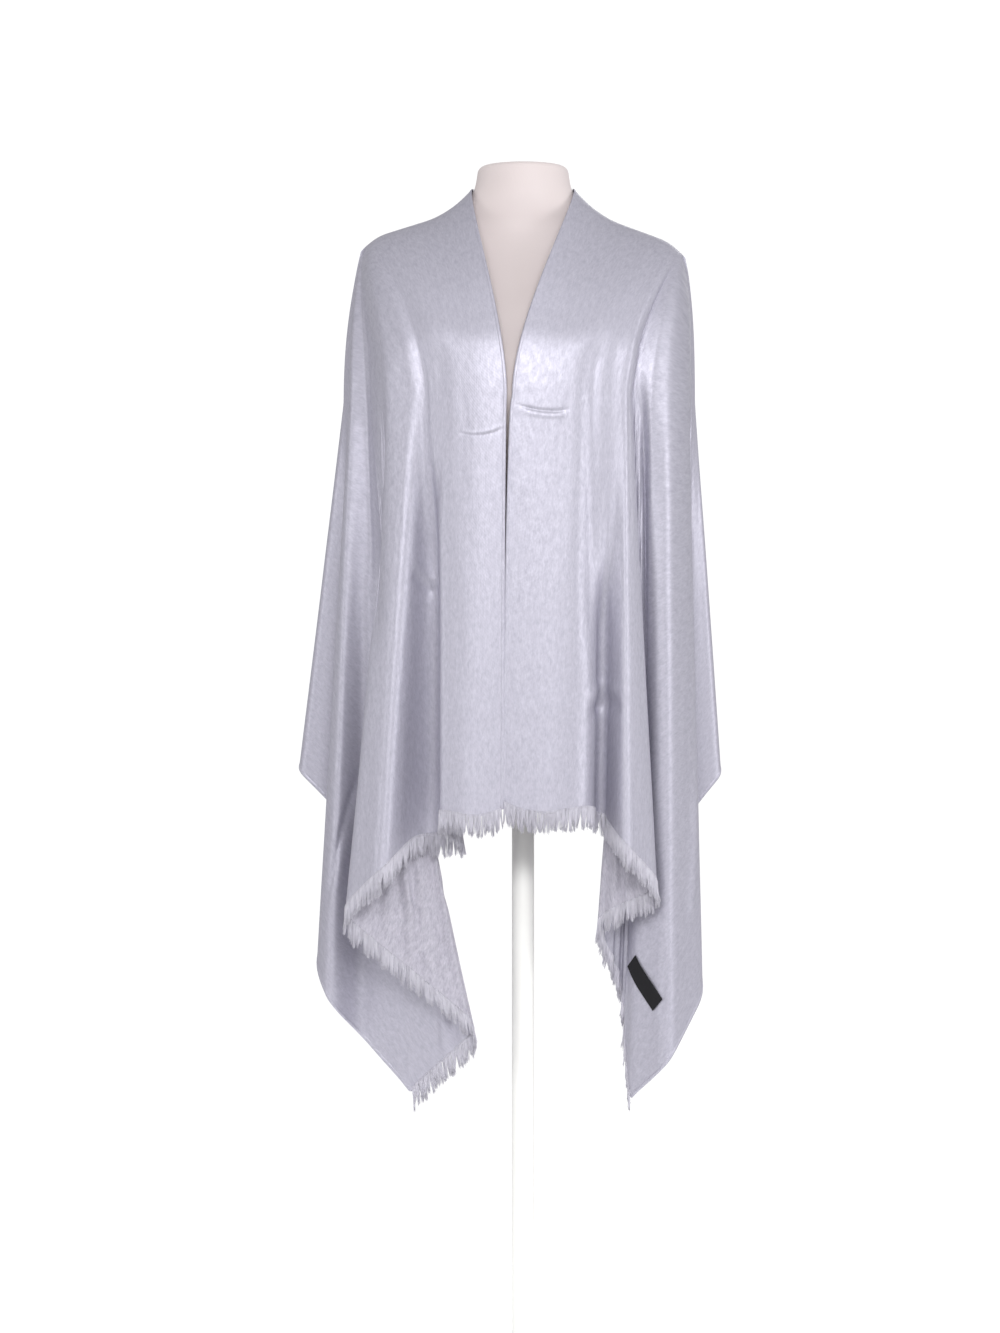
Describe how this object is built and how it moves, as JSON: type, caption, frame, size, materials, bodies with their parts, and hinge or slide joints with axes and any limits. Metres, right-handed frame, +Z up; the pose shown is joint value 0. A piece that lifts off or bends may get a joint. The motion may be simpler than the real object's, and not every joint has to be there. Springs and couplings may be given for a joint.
{
  "type": "evening stole on a limbless dress form with stand",
  "caption": "Satin stole with short fringed ends, worn forward over the shoulders of a padded dress form on a pole and a round base.",
  "frame": {"origin": "centre of the stand's flat underside, on the floor", "axes": "+Z up along the stand's pole, -Y the way that the form and the open front of the stole face, +X towards the tail that carries the label"},
  "size_m": [0.477, 0.33, 1.406],
  "materials": {
    "satin": "silver-grey satin twill, soft sheen on the face and matt on the reverse",
    "fringe": "short eyelash fringe of the same yarn",
    "label": "bare black woven tape",
    "jersey": "cream knitted jersey stretched over padding",
    "board": "matt closing board",
    "paint": "white powder coat, satin"
  },
  "bodies": {
    "root": {"stole_left": "satin", "stole_right": "satin", "stole_back": "satin", "fringe_left": "fringe", "fringe_right": "fringe", "label": "label", "form_torso": "jersey", "form_board": "board", "stand_pole": "paint", "stand_collar": "paint", "stand_base": "paint"}
  },
  "joints": []
}
